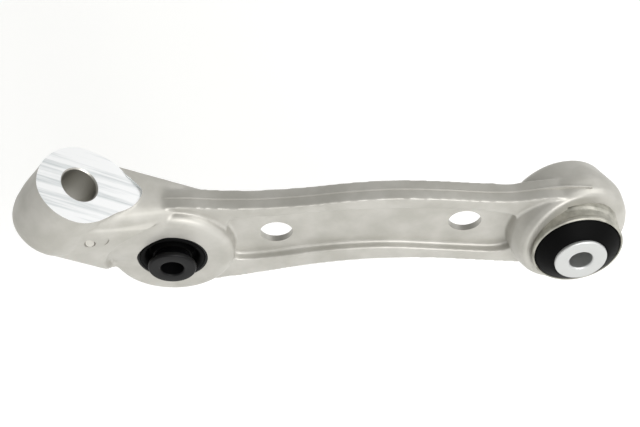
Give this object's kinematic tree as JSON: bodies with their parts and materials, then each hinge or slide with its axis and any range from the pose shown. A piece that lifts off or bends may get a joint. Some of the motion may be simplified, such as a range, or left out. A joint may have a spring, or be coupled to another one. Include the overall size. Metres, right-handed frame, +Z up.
{
  "type": "suspension control arm",
  "caption": "Forged lower control arm with an open ball stud seat at one end, a rubber damper bush beside it and a rubber chassis bush at the other end.",
  "frame": {"origin": "centre of the chassis bush, on its bolt bore's axis", "axes": "+Z is up in the car. The arm runs outboard along -X. The damper bush axis is Y, and -Y is the side with the machined fronts of both bushes."},
  "size_m": [0.3746, 0.0676, 0.1196],
  "materials": {
    "forged_aluminium": "shot-blasted forging, satin",
    "bright_aluminium": "turned, matte",
    "black_rubber": "moulded, slight sheen",
    "bare_steel": "rolled strip",
    "black_coated_steel": "black electrocoat"
  },
  "bodies": {
    "arm": {"arm_forging": "forged_aluminium", "chassis_bush_outer_sleeve": "bright_aluminium", "chassis_bush_outer_rubber": "black_rubber", "chassis_bush_main_rubber": "black_rubber", "damper_bush_outer_sleeve": "black_coated_steel", "damper_bush_rubber": "black_rubber"},
    "chassis_middle": {"chassis_bush_middle_sleeve": "bare_steel"},
    "chassis_core": {"chassis_bush_inner_sleeve": "bright_aluminium"},
    "damper_core": {"damper_bush_inner_sleeve": "black_coated_steel"}
  },
  "joints": [
    {"name": "chassis_bush_twist", "type": "hinge", "parent": "arm", "child": "chassis_core", "pos_m": [0, 0, 0], "axis": [0.0864, -0.9877, 0.1305], "range_deg": [-25, 25], "stiffness_Nm_per_rad": 100, "deforming": ["chassis_bush_main_rubber"]},
    {"name": "chassis_middle_twist", "type": "hinge", "parent": "arm", "child": "chassis_middle", "pos_m": [0, 0, 0], "axis": [0.0864, -0.9877, 0.1305], "range_deg": [-6, 6], "deforming": ["chassis_bush_outer_rubber"]},
    {"name": "damper_bush_twist", "type": "hinge", "parent": "arm", "child": "damper_core", "pos_m": [-0.247, 0, -0.005], "axis": [0, -1, 0], "range_deg": [-15, 15], "stiffness_Nm_per_rad": 30, "deforming": ["damper_bush_rubber"]}
  ],
  "couplings": [
    {"joint": "chassis_middle_twist", "follows": "chassis_bush_twist", "ratio": 0.2}
  ]
}
